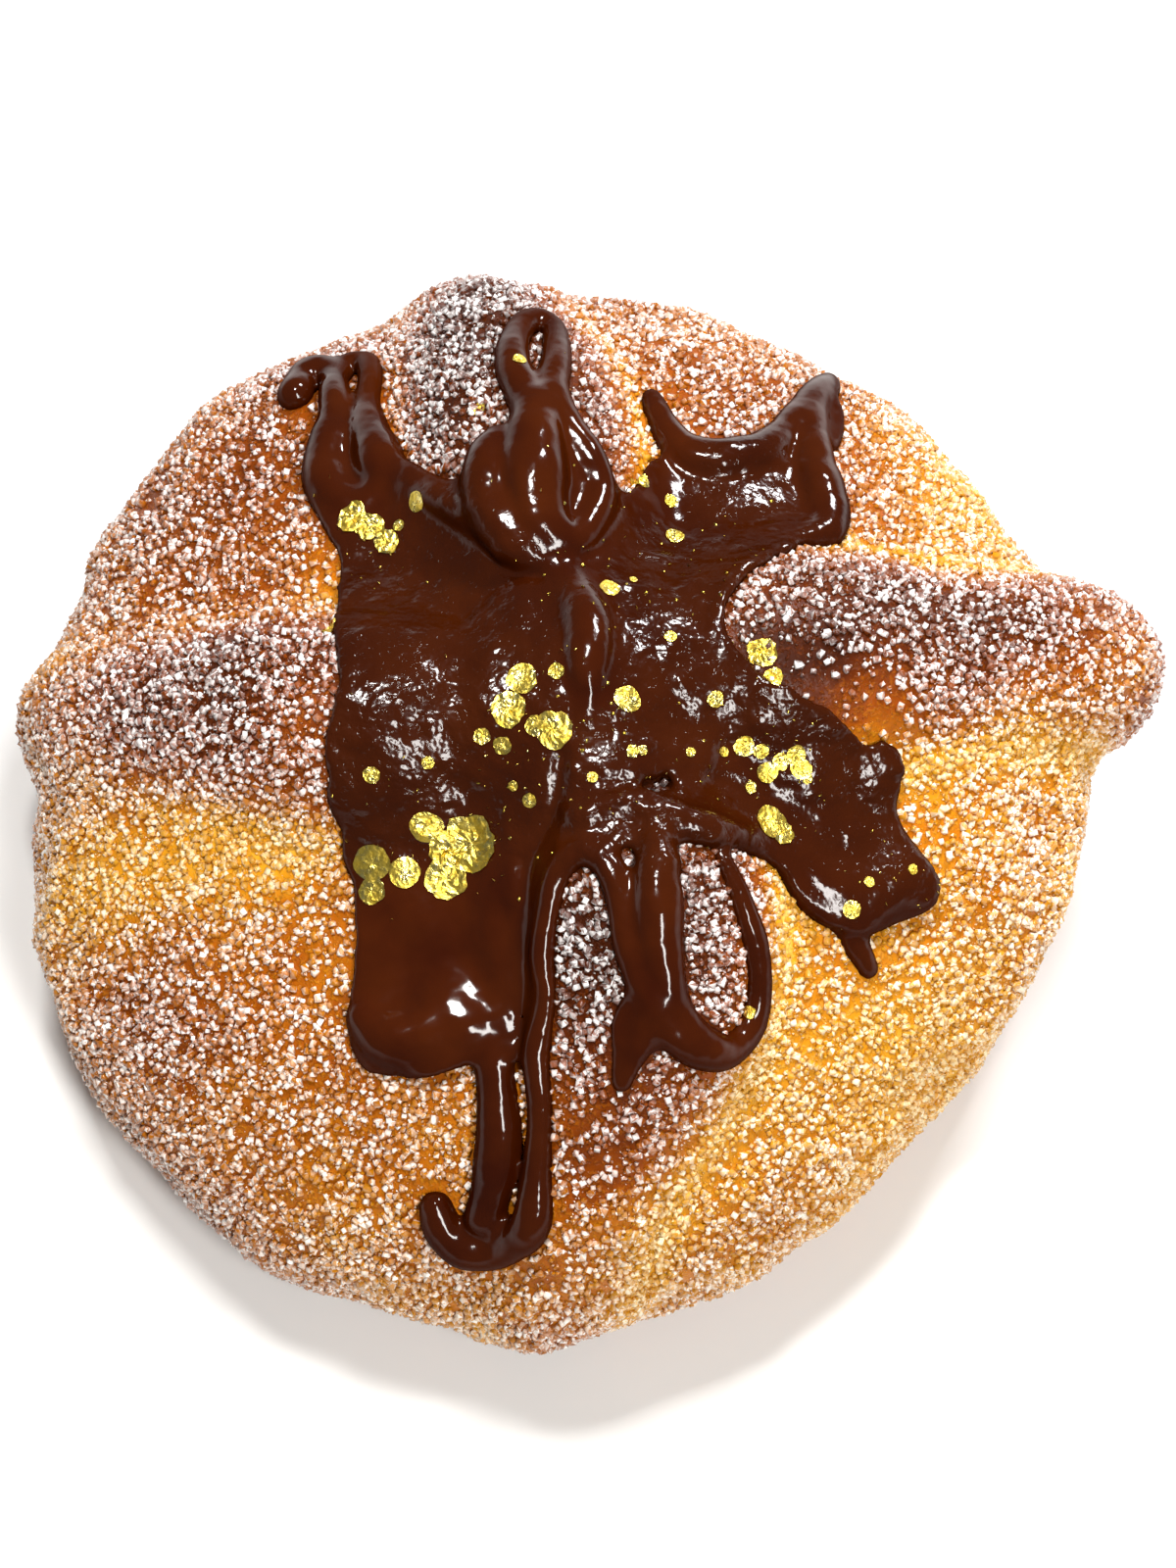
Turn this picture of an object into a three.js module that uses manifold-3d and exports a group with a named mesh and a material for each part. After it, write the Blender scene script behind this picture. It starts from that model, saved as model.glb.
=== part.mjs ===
// A round sweet loaf with four dough bones and a ball on top, under a draped layer of chocolate.
// Millimetres, +Z up. The origin is the centre of the flat face that the loaf rests on.
import * as THREE from 'three';
import { mergeVertices } from 'three/addons/utils/BufferGeometryUtils.js';
import Module from 'manifold-3d';

const wasm = await Module();
wasm.setup();

// Loaf: a low dome above its waist and a tucked-in side below it.
const waistHeight = 15;
const domeHeight = 30;
const underHeight = 22;
const meanRadius = 54.2;
const domePower = 2.25;
const underPower = 2.6;
// The outline is uneven: each entry is [waves round the loaf, size in mm, bearing of its peak].
const outlineWaves = [[1, 4.2, 171], [2, 1.1, 42], [3, 1.2, 9], [5, 0.4, -4], [6, 0.3, 25], [7, 0.45, -20]];
// Slow swells of the crust: [waves along x, y and z per 10 mm, size in mm].
const crustSwells = [[1.1, 0.4, 0.7, 0.3], [-0.5, 1.3, 0.9, 0.28], [1.9, -1.6, 0.4, 0.14],
  [0.7, 2.3, -1.8, 0.12]];

// Bones: knots of [bearing, tilt from upright, girth radius, how far it stands proud].
const boneKnots = {
  left: [[174, 16, 9, 3.5], [182, 34, 11.5, 7], [183, 46, 12.5, 7.5], [179, 60, 10.5, 5],
    [175, 75, 7.4, 2.4], [172.5, 88, 6, 0.9]],
  right: [[20, 16, 9, 3.5], [17, 34, 12, 7.5], [14, 47, 11.5, 7], [12, 62, 9, 5],
    [13, 76, 8.6, 7.8], [13.6, 84, 8.3, 9.2]],
  top: [[104, 18, 9, 4], [104, 38, 10.5, 6.5], [103, 55, 11.5, 7.2], [103, 75, 9.5, 3.8], [103, 92, 8, 3.4]],
  bottom: [[284, 18, 10, 4], [285, 36, 13.5, 7.5], [280, 52, 12.5, 6.5], [270, 70, 9, 3],
    [266, 88, 8.2, 2.6], [265, 100, 7.4, 1.8]],
};
const beadsPerSpan = 7;
const ballRadius = 12.5;
const ballProud = 8.5;
const creaseBlend = 2.4;
// The crust is found along a ray from the loaf's middle, in steps from this far out.
const searchStart = 78;
const searchSteps = 60;

// Facets of the loaf and of the chocolate's outer face.
const loafDetail = 16;
const groundBlock = [200, 200, 50];

// Chocolate. Its places are [u, v], measured in mm from the crown over a ball of this radius.
const mapRadius = 46;
const clearance = 0.3;
const sheetThickness = 1.3;
const sheetMiddle = [4, 1];
const sheetGridWidth = 92;
const sheetGridCells = 27;
// Ripples of the sheet's upper face: height, then length along u, along v and their slant.
const ripple = [0.25, 2.7, 3.1, 5];
// The heights, above the loaf's middle, between which a sheet's outline is cut.
const outlineCut = [2, 70];
// Thicker patches of the sheet: [u, v, patch radius, extra thickness].
const thickPatches = [[-16, -31, 15, 1.1], [35, -21, 11, 0.9], [-27, 32, 9, 0.5], [24, 32, 9, 0.5]];
const sheetOutlines = {
  centre: [[-31, 27.5], [-30, 12.5], [-26.5, 1], [-29, -10.5], [-29, -20], [-20, -25.5], [-7, -23.5],
    [0, -20], [11, -17.5], [20, -17.5], [32, -16], [28.5, -3.5], [20.5, 1], [15.5, 8], [16.5, 16],
    [16, 26], [5, 27.5], [0, 29.5], [-6.5, 30], [-11.5, 28.5], [-16.5, 26.5], [-24.5, 31]],
  leftTongue: [[-29.5, -17.5], [-28.5, -27.5], [-28, -36], [-25.5, -40.5], [-22, -42], [-17.5, -42],
    [-12.5, -41.5], [-6.5, -40.5], [-5, -33], [-4.5, -23], [-4.5, -14.5], [-21, -11]],
  rightTongue: [[12.5, -6.5], [17, -3], [20, 1], [24, -0.5], [28.5, -2], [33, -4.5], [35.5, -4.5],
    [37.5, -5.5], [38.5, -9], [39, -13], [41.5, -17], [42.5, -20], [41, -24], [37.5, -26.5], [33, -27.5],
    [29, -27], [26.5, -24.5], [24, -21], [20, -18.5], [11, -17]],
  upperRight: [[5, 27.5], [9.5, 36], [18.5, 35.5], [27, 40], [29.5, 31.5], [29, 24], [19, 15], [11.5, 7],
    [2.5, 9.5], [0, 20]],
  upperLeft: [[-34, 31], [-32, 36.5], [-29.5, 39], [-25, 39], [-23, 33], [-16, 25.5], [-22, 20], [-30.5, 22],
    [-33.5, 27]],
  flap: [[5.5, -32], [3, -34.5], [2.5, -37.5], [3, -40], [4, -42], [5.5, -41], [7.5, -39.5], [10, -39],
    [10, -36]],
};
// Piped strands: points of [u, v, girth radius].
const strandLift = 0.3;
const strandStep = 3.3;
const strandSides = 7;
const strandTip = 0.7;
const strandRoutes = {
  archAndLoop: [[-17, -54, 1.8], [-16, -56, 2.1], [-14, -57.5, 2.3], [-11, -58, 2.2], [-8, -56.5, 2.1],
    [-6, -54, 1.9], [-5.5, -50, 1.6], [-5.5, -45, 1.4], [-5, -38, 1.2], [-5, -31, 1.2], [-4.5, -26.5, 1.3],
    [-3.5, -22.5, 1.4], [-1.5, -20, 1.5], [0.5, -20, 1.5], [2.5, -21.5, 1.5], [3.5, -24.5, 1.4],
    [4, -28, 1.4], [5, -31, 1.5], [7, -34, 1.7], [9, -36.5, 1.8], [12, -38.5, 1.8], [15.5, -39, 1.8],
    [18.5, -37.5, 1.6], [19.5, -34, 1.5], [19, -29.5, 1.4], [17.5, -25, 1.2], [15.5, -20, 1]],
  hookStrand: [[-11, -39, 2.2], [-10.5, -43.5, 2.4], [-10, -48, 2.4], [-10.5, -52, 2.3], [-11.5, -55, 2.2]],
  thickStrand: [[8, -16.5, 2], [8, -21, 2], [7.5, -25.5, 2], [8, -30, 1.8], [9, -33.5, 1.5],
    [10.5, -36, 1.2]],
  pointedDrip: [[5, -35, 2], [5, -38.5, 1.5], [4.5, -41.5, 0.8]],
  tongueLip: [[-26, -36.5, 1.9], [-23.5, -38.5, 2.5], [-20, -39, 2.6], [-16.5, -38.5, 2.4], [-13, -38.5, 2],
    [-10.5, -37.5, 1.5]],
  topLoopLeft: [[-6, 32, 2], [-7, 34.5, 2], [-8, 37.5, 1.9], [-8, 41, 1.7], [-7, 44, 1.5],
    [-5.5, 45.5, 1.4]],
  topLoopRight: [[-5.5, 45.5, 1.4], [-4, 45, 1.4], [-3.5, 42.5, 1.5], [-3.5, 39, 1.7], [-4, 35.5, 1.9],
    [-4.5, 32, 2]],
  teardropLeft: [[-5.5, 32.5, 2.2], [-6, 28, 2.9], [-6, 23.5, 3.2], [-5.5, 20, 3], [-2.5, 18.5, 2.3]],
  teardropRight: [[-2.5, 18.5, 2.3], [0, 21, 1.9], [1.5, 25.5, 1.7], [0, 29, 1.7], [-2, 31, 1.7],
    [-4, 34, 1.8]],
  topFold: [[-10, 29, 1.6], [-11, 26.5, 2.4], [-11, 23, 2.9], [-9.5, 19.5, 2.8], [-7, 17, 2.1],
    [-4, 16, 1.4]],
  leftCurl: [[-34, 42.5, 1.9], [-33, 45.5, 2], [-31, 46.5, 1.8], [-30, 44.5, 1.6], [-30, 40.5, 1.8],
    [-31, 36.5, 2.2], [-32, 32.5, 2.2], [-31, 29, 1.9], [-28, 27.5, 1.5]],
  leftEye: [[-29.5, 46.5, 1.3], [-28.5, 48.5, 1.3], [-26.5, 48, 1.4], [-26, 45, 1.4], [-26.5, 41.5, 1.4],
    [-26.5, 38, 2], [-25.5, 33.5, 2.7], [-25, 31, 2.2], [-27, 29, 1.6]],
  leftRidge: [[-23, 31, 1.7], [-18.5, 26.5, 1.7], [-13.5, 22, 1.6], [-9, 18.5, 1.5], [-5, 16, 1.2]],
  rightRibbon: [[8, 43.5, 1], [9, 41.5, 1.2], [10.5, 39, 1.4], [13, 36.5, 1.8], [17, 35.5, 2],
    [21.5, 36.5, 1.9], [24.5, 39.5, 1.7], [27, 43, 1.7], [29, 46.5, 1.7], [30, 48.5, 1.4]],
  rightEdge: [[28, 43.5, 1.5], [28.5, 38.5, 1.7], [29.5, 34, 2], [31, 30.5, 2], [31.5, 27, 1.8],
    [30.5, 25, 1.6], [28.5, 24, 1.3]],
  rightEye: [[30, 45.5, 0.9], [31, 43.5, 0.8], [31, 40.5, 0.8], [30.5, 38, 0.8]],
  midRidge: [[-3.5, 16, 1.4], [-1, 10, 1.5], [0, 1, 1.3], [0, -4.5, 0.9]],
  armRidge: [[4.5, -8.5, 1.2], [11.5, -8.5, 1.3], [19, -9.5, 1.4], [24.5, -12.5, 1.2]],
  crossStrand: [[-1, -16, 1.6], [4.5, -12.5, 1.7], [11.5, -15, 1.9], [19.5, -17.5, 1.5], [26, -19, 1.7],
    [31, -22.5, 1.9], [34.5, -25, 1.8]],
  rightRim: [[36.5, -6, 1.3], [38, -9, 1.2], [38, -12, 1.3], [38.5, -15, 1.6], [39.5, -18, 2],
    [40, -20.5, 2.1], [38.5, -23.5, 2.1], [35, -25, 1.9], [31.5, -25.5, 1.6], [29, -25, 1.2]],
  rightDrip: [[33.5, -26.5, 1.5], [34.5, -29, 1.4], [36, -31.5, 1.1]],
};
// The largest flakes of gold leaf: [u, v, radius].
const flakePlaces = [[-7.5, 0, 1.5], [-9, -3.5, 1.7], [-4, -6, 1.8], [-20, -16.5, 1.6], [-15.5, -19.5, 2.5],
  [-18.5, -23, 2], [-26.5, -20.5, 1.8], [-23, -21.8, 1.5], [4.5, -2.5, 1.3], [22.5, -14.3, 1.6],
  [-28, 25.2, 1.4], [-25.8, 22.8, 1.4], [25, -6.5, 1], [2.5, 12, 1]];
const flakeSides = 6;
const flakeThickness = 0.5;
const flakeProud = 0.22;

// The largest grains of coarse sugar.
const grainCount = 104;
const grainSize = [1, 1.6];
const grainProud = 0.15;
const grainSeed = 11;
const chocolateMargin = 3;
const goldenTurn = Math.PI * (3 - Math.sqrt(5));

const centre = new THREE.Vector3(0, 0, waistHeight);
const rad = THREE.MathUtils.degToRad;

function directionAt(bearing, tilt) {
  const out = Math.sin(tilt);
  return new THREE.Vector3(out * Math.cos(bearing), out * Math.sin(bearing), Math.cos(tilt));
}

function bodyReach(direction) {
  const bearing = Math.atan2(direction.y, direction.x);
  let radius = meanRadius;
  for (const [waves, size, peak] of outlineWaves) radius += size * Math.cos(waves * (bearing - rad(peak)));
  const above = direction.z >= 0;
  const power = above ? domePower : underPower;
  const out = Math.hypot(direction.x, direction.y) / radius;
  const up = Math.abs(direction.z) / (above ? domeHeight : underHeight);
  return 1 / Math.pow(out ** power + up ** power, 1 / power);
}

function beadOn(direction, radius, proud) {
  const place = direction.clone().multiplyScalar(bodyReach(direction) + proud - radius);
  return { place, radius };
}

function boneBeads(knots) {
  const route = new THREE.CatmullRomCurve3(knots.map(([, tilt, radius, proud]) =>
    new THREE.Vector3(tilt, radius, proud)), false, 'catmullrom', 0.5);
  const bearings = new THREE.CatmullRomCurve3(knots.map(([bearing]) => new THREE.Vector3(bearing, 0, 0)),
    false, 'catmullrom', 0.5);
  const beads = [];
  const steps = (knots.length - 1) * beadsPerSpan;
  for (let i = 0; i <= steps; i++) {
    const { x: tilt, y: radius, z: proud } = route.getPoint(i / steps);
    const bearing = bearings.getPoint(i / steps).x;
    beads.push(beadOn(directionAt(rad(bearing), rad(tilt)), radius, proud));
  }
  return beads;
}

const bones = Object.values(boneKnots).map(boneBeads);
const ball = beadOn(new THREE.Vector3(0, 0, 1), ballRadius, ballProud);

// A smooth union of two distances, which leaves a soft crease where the pieces of dough meet.
function blend(a, b) {
  const share = THREE.MathUtils.clamp(0.5 + 0.5 * (b - a) / creaseBlend, 0, 1);
  return b * (1 - share) + a * share - creaseBlend * share * (1 - share);
}

function swell(place) {
  let height = 0;
  for (const [x, y, z, size] of crustSwells) {
    height += size * Math.sin((x * place.x + y * place.y + z * place.z) / 10 + x * 7);
  }
  return height;
}

function crustDistance(place) {
  const length = place.length();
  let distance = length - bodyReach(place.clone().divideScalar(length));
  for (const beads of bones) {
    const nearest = Math.min(...beads.map((bead) => place.distanceTo(bead.place) - bead.radius));
    distance = blend(distance, nearest);
  }
  return blend(distance, place.distanceTo(ball.place) - ball.radius);
}

// How far the crust lies from the centre along a direction, found by stepping inwards from outside.
function crustReach(direction) {
  let reach = searchStart;
  for (let i = 0; i < searchSteps; i++) {
    const step = 0.8 * crustDistance(direction.clone().multiplyScalar(reach));
    reach -= THREE.MathUtils.clamp(step, -2, 4);
  }
  return reach + swell(direction.clone().multiplyScalar(reach));
}

function toMap(direction) {
  const tilt = Math.acos(direction.z);
  const out = Math.hypot(direction.x, direction.y) || 1;
  return [mapRadius * tilt * direction.x / out, mapRadius * tilt * direction.y / out];
}

function fromMap(u, v) {
  return directionAt(Math.atan2(v, u), Math.hypot(u, v) / mapRadius);
}

function onCrust(u, v, lift) {
  const direction = fromMap(u, v);
  return direction.clone().multiplyScalar(crustReach(direction) + lift).add(centre);
}

function weld(geometry) {
  geometry.deleteAttribute('normal');
  geometry.deleteAttribute('uv');
  return mergeVertices(geometry);
}

function solid(geometry) {
  const welded = weld(geometry);
  return new wasm.Manifold(new wasm.Mesh({
    numProp: 3,
    vertProperties: new Float32Array(welded.attributes.position.array),
    triVerts: new Uint32Array(welded.index.array),
  }));
}

// Moves every point of a shape to the place that the function gives for it.
function moved(geometry, placeOf) {
  const position = geometry.attributes.position;
  for (let i = 0; i < position.count; i++) {
    const place = placeOf(new THREE.Vector3().fromBufferAttribute(position, i), i);
    position.setXYZ(i, place.x, place.y, place.z);
  }
  return geometry;
}

function meshOf(name, body, material) {
  const { vertProperties, triVerts } = body.getMesh();
  const geometry = new THREE.BufferGeometry();
  geometry.setAttribute('position', new THREE.BufferAttribute(vertProperties, 3));
  geometry.setIndex(new THREE.BufferAttribute(triVerts, 1));
  geometry.computeVertexNormals();
  const mesh = new THREE.Mesh(geometry, material);
  mesh.name = name;
  return mesh;
}

// The crust on a fixed set of directions, so that two bodies made from it have matching facets.
const loafSphere = weld(new THREE.IcosahedronGeometry(1, loafDetail));
const loafReaches = [];
moved(loafSphere, (direction) => {
  loafReaches.push(crustReach(direction));
  return direction;
});

function loafBody(offset) {
  const geometry = moved(loafSphere.clone(), (direction, i) =>
    direction.multiplyScalar(loafReaches[i] + offset).add(centre));
  const ground = new THREE.BoxGeometry(...groundBlock);
  ground.translate(0, 0, -groundBlock[2] / 2);
  return solid(geometry).subtract(solid(ground));
}

function sheetHeight(u, v) {
  let height = sheetThickness;
  for (const [patchU, patchV, radius, extra] of thickPatches) {
    const away = Math.hypot(u - patchU, v - patchV) / radius;
    height += extra * Math.exp(-(away ** 4));
  }
  const [size, alongU, alongV, slant] = ripple;
  return height + size * Math.sin(u / alongU) * Math.sin(v / alongV + u / slant);
}

// A body that fills everything from the middle of the loaf out to the chocolate's upper face.
function icingBody() {
  const grid = new THREE.BoxGeometry(sheetGridWidth, sheetGridWidth, 1, sheetGridCells, sheetGridCells);
  return solid(moved(grid, ({ x, y, z }) => {
    const direction = fromMap(x + sheetMiddle[0], y + sheetMiddle[1]);
    const lift = clearance + sheetHeight(x + sheetMiddle[0], y + sheetMiddle[1]);
    return direction.multiplyScalar(z > 0 ? crustReach(direction) + lift : outlineCut[0]).add(centre);
  }));
}

// A pyramid with its tip at the loaf's centre, whose sides pass through the outline on the crust.
function outlinePyramid(points) {
  const [low, high] = outlineCut;
  const curve = new THREE.CatmullRomCurve3(points.map(([u, v]) => new THREE.Vector3(u, v, 0)), true);
  const shape = new THREE.Shape(curve.getPoints(points.length * 2).slice(0, -1).map(({ x, y }) => {
    const direction = fromMap(x, y);
    return new THREE.Vector2(direction.x / direction.z, direction.y / direction.z);
  }));
  const prism = new THREE.ExtrudeGeometry(shape, { depth: high - low, bevelEnabled: false });
  return solid(moved(prism, ({ x, y, z }) =>
    new THREE.Vector3(x, y, 1).multiplyScalar(z + low).add(centre)));
}

// A strand lies along its route with round ends, and is as thick at each point as the route says.
function strand(points) {
  const route = new THREE.CatmullRomCurve3(points.map((point) => new THREE.Vector3(...point)));
  const steps = Math.max(2, Math.round(route.getLength() / strandStep));
  const spots = route.getSpacedPoints(steps);
  const places = spots.map(({ x, y, z }) => onCrust(x, y, clearance + strandLift * z));
  const profile = [new THREE.Vector2(0, -strandTip)];
  for (let k = 0; k <= steps; k++) profile.push(new THREE.Vector2(1, k));
  profile.push(new THREE.Vector2(0, steps + strandTip));
  const lathe = new THREE.LatheGeometry(profile, strandSides);
  return solid(moved(weld(lathe), ({ x, y, z }) => {
    const k = THREE.MathUtils.clamp(Math.round(y), 0, steps);
    const tangent = places[Math.min(k + 1, steps)].clone().sub(places[Math.max(k - 1, 0)]).normalize();
    const up = places[k].clone().sub(centre).normalize();
    const side = new THREE.Vector3().crossVectors(tangent, up).normalize();
    const upright = new THREE.Vector3().crossVectors(side, tangent);
    const girth = spots[k].z;
    const along = THREE.MathUtils.clamp(y, -strandTip, 0) + Math.max(y - steps, 0);
    return places[k].clone().addScaledVector(tangent, along * girth)
      .addScaledVector(side, x * girth).addScaledVector(upright, z * girth);
  }));
}

function flake(u, v, radius) {
  const lift = clearance + sheetHeight(u, v) + flakeProud - flakeThickness / 2;
  const geometry = new THREE.CylinderGeometry(radius, radius, flakeThickness, flakeSides);
  const east = onCrust(u + 1, v, 0).sub(onCrust(u - 1, v, 0));
  const north = onCrust(u, v + 1, 0).sub(onCrust(u, v - 1, 0));
  const upright = new THREE.Vector3().crossVectors(east, north).normalize();
  geometry.applyQuaternion(new THREE.Quaternion().setFromUnitVectors(new THREE.Vector3(0, 1, 0), upright));
  const place = onCrust(u, v, lift);
  geometry.translate(place.x, place.y, place.z);
  return solid(geometry);
}

function chocolateBody() {
  const pyramids = Object.values(sheetOutlines).map(outlinePyramid);
  let body = icingBody().intersect(pyramids.reduce((all, next) => all.add(next)));
  for (const route of Object.values(strandRoutes)) body = body.add(strand(route));
  body = body.subtract(loafBody(clearance));
  for (const place of flakePlaces) body = body.add(flake(...place));
  return body;
}

function seededDraw(seed) {
  let state = seed;
  return () => {
    state = (state * 1664525 + 1013904223) % 4294967296;
    return state / 4294967296;
  };
}

function insideOutline(u, v, points) {
  let inside = false;
  for (let i = 0, j = points.length - 1; i < points.length; j = i++) {
    const [u1, v1] = points[i];
    const [u2, v2] = points[j];
    if ((v1 > v) !== (v2 > v) && u < (u2 - u1) * (v - v1) / (v2 - v1) + u1) inside = !inside;
  }
  return inside;
}

function nearChocolate(u, v) {
  for (const points of Object.values(sheetOutlines)) {
    for (let turn = 0; turn < 2 * Math.PI; turn += Math.PI / 4) {
      const [du, dv] = [chocolateMargin * Math.cos(turn), chocolateMargin * Math.sin(turn)];
      if (insideOutline(u + du, v + dv, points)) return true;
    }
  }
  return Object.values(strandRoutes).flat().some(([x, y, girth]) =>
    Math.hypot(u - x, v - y) < girth + chocolateMargin);
}

// Grains lie on a sunflower spiral over the loaf, each shifted and turned by the seeded draw.
function sugaredLoaf() {
  const draw = seededDraw(grainSeed);
  let body = loafBody(0);
  for (let i = 0; i < grainCount; i++) {
    const tilt = Math.acos(1 - 1.08 * (i + 0.5) / grainCount) + 0.05 * draw();
    const direction = directionAt(i * goldenTurn + 0.12 * draw(), tilt);
    const sides = [draw(), draw(), draw()].map((share) => THREE.MathUtils.lerp(...grainSize, share));
    const turns = [draw(), draw(), draw()].map((share) => 2 * Math.PI * share);
    if (nearChocolate(...toMap(direction))) continue;
    const grain = new THREE.BoxGeometry(...sides);
    grain.applyQuaternion(new THREE.Quaternion().setFromEuler(new THREE.Euler(...turns)));
    const place = direction.multiplyScalar(crustReach(direction) + grainProud).add(centre);
    grain.translate(place.x, place.y, place.z);
    body = body.add(solid(grain));
  }
  return body;
}

const crustMaterial = new THREE.MeshStandardMaterial({ color: 0xb9742f, roughness: 0.6, metalness: 0 });
const chocolateMaterial = new THREE.MeshStandardMaterial({ color: 0x3b1d12, roughness: 0.2, metalness: 0 });

const group = new THREE.Group();
group.add(meshOf('bread', sugaredLoaf(), crustMaterial));
group.add(meshOf('chocolate', chocolateBody(), chocolateMaterial));

export default group;
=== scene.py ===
import itertools
import math
import bmesh
import bpy
import numpy as np
from mathutils import Matrix, Vector
from mathutils.bvhtree import BVHTree


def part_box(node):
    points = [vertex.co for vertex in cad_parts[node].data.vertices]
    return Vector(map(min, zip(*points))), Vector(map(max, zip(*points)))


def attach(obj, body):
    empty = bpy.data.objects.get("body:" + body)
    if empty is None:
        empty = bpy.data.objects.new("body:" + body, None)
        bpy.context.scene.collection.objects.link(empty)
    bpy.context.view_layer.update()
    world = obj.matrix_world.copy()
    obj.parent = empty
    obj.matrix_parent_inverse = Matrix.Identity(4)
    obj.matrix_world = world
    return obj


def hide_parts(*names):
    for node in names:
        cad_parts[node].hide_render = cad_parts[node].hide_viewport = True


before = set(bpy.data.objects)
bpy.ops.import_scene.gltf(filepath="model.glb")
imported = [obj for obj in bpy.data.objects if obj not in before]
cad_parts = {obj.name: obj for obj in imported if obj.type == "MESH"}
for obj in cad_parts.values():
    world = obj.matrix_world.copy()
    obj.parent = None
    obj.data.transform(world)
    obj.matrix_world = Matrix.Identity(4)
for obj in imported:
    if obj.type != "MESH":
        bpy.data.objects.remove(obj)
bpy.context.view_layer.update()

mm = 0.001
rad = math.radians

# sizes in millimetres, angles in degrees; the loaf's middle is where its bones are measured from
loaf = {
    "waistHeight": 15.0, "domeHeight": 30.0, "underHeight": 22.0, "meanRadius": 54.2,
    "domePower": 2.25, "underPower": 2.6,
    # waves of the outline: how many go round, size, bearing of a peak
    "outlineWaves": [(1, 4.2, 171), (2, 1.1, 42), (3, 1.2, 9), (5, 0.4, -4), (6, 0.3, 25), (7, 0.45, -20)],
    # long swells: how fast each runs along x, y and z, and its size
    "swells": [(1.1, 0.4, 0.7, 0.3), (-0.5, 1.3, 0.9, 0.28), (1.9, -1.6, 0.4, 0.14), (0.7, 2.3, -1.8, 0.12)],
    # each knot of a bone: bearing, tilt from upright, girth radius, how proud it stands
    "bones": {
        "left": [(174, 16, 9, 3.5), (182, 34, 11.5, 6.6), (183, 46, 12.5, 7), (179, 60, 10.5, 5),
                 (175, 75, 7.4, 2.4), (172.5, 88, 6, 0.9)],
        "right": [(20, 16, 9, 3.5), (17, 34, 12.5, 6.8), (14, 47, 12.5, 6.4), (12, 62, 10, 4.8),
                  (13, 76, 8.6, 7.8), (13.6, 84, 8.3, 9.2)],
        "top": [(104, 18, 9, 4), (104, 38, 10.5, 6.5), (103, 55, 11.5, 7.2), (103, 75, 9.5, 3.8),
                (103, 92, 8, 3.4)],
        "bottom": [(284, 18, 10, 4), (285, 36, 13.5, 7.5), (280, 52, 12.5, 6.5), (270, 70, 9, 3),
                   (266, 88, 8.2, 2.6), (265, 100, 7.4, 1.8)],
    },
    "ballRadius": 12.5, "ballProud": 8.5, "creaseBlend": 4.4,
    "lumps": 0.42, "rimLumps": 0.4, "rimFrom": (0.6, 0.2), "lumpSizes": [(1, 8, 51), (0.5, 4, 52)],
    "wrinkle": 0.13, "creasePucker": 1.5, "wrinkleSizes": [(1, 3.4, 41), (0.5, 1.5, 42)],
    "meshCells": 270, "quickCells": 90,
}
mapRadius = 46.0  # places on the crust are (u, v): mm from the crown over a ball of this radius
mapHalf = 92.0
mapStep = 0.5
middle = np.array([0, 0, loaf["waistHeight"]])


def smooth(low, high, x):
    t = np.clip((x - low) / (high - low), 0, 1)
    return t * t * (3 - 2 * t)


def softNoise(points, size, seed):
    # value noise from -1 to 1, whose bumps are about size apart
    table = np.random.default_rng(seed).uniform(-1, 1, 4096).astype(np.float32)
    cell = np.asarray(points, np.float32) / size + 500
    base = cell.astype(np.int64)
    part = cell - base
    part = part * part * (3 - 2 * part)
    total = 0
    for corner in itertools.product((0, 1), repeat=3):
        weight = np.prod(np.where(corner, part, 1 - part), axis=1)
        spot = (base + corner) * (73856093, 19349663, 83492791)
        total = total + weight * table[(spot[:, 0] ^ spot[:, 1] ^ spot[:, 2]) & 4095]
    return total


def noiseSum(points, layers):
    # each layer: size, width of its bumps, seed
    return sum(size * softNoise(points, width, seed) for size, width, seed in layers)


def fade(u, v, spot, radius, power=2):
    # 1 at a spot of the map and 0 beyond its radius, with a harder edge at a higher power
    return np.exp(-((np.hypot(u - spot[0], v - spot[1]) / radius) ** power))


def curveThrough(points, perSpan, closed=False):
    points = np.asarray(points, float)
    if closed:
        padded = np.vstack([points[-1:], points, points[:2]])
    else:
        padded = np.vstack([2 * points[0] - points[1], points, 2 * points[-1] - points[-2]])
    t = (np.arange(perSpan) / perSpan)[:, None]
    spans = [0.5 * (2 * b + (c - a) * t + (2 * a - 5 * b + 4 * c - d) * t**2 + (3 * b - a - 3 * c + d) * t**3)
             for a, b, c, d in zip(padded, padded[1:], padded[2:], padded[3:])]
    return np.vstack(spans if closed else spans + [points[-1:]])


def blend(a, b, width):
    share = np.clip(0.5 + 0.5 * (b - a) / width, 0, 1)
    return b * (1 - share) + a * share - width * share * (1 - share)


def directionAt(bearing, tilt):
    return np.stack([np.sin(tilt) * np.cos(bearing), np.sin(tilt) * np.sin(bearing),
                     np.cos(tilt) * np.ones_like(bearing)], -1)


def fromMap(u, v):
    return directionAt(np.arctan2(v, u), np.hypot(u, v) / mapRadius)


def toMap(direction):
    tilt = np.arccos(np.clip(direction[..., 2], -1, 1))
    out = np.maximum(np.hypot(direction[..., 0], direction[..., 1]), 1e-9)
    return mapRadius * tilt * direction[..., 0] / out, mapRadius * tilt * direction[..., 1] / out


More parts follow.
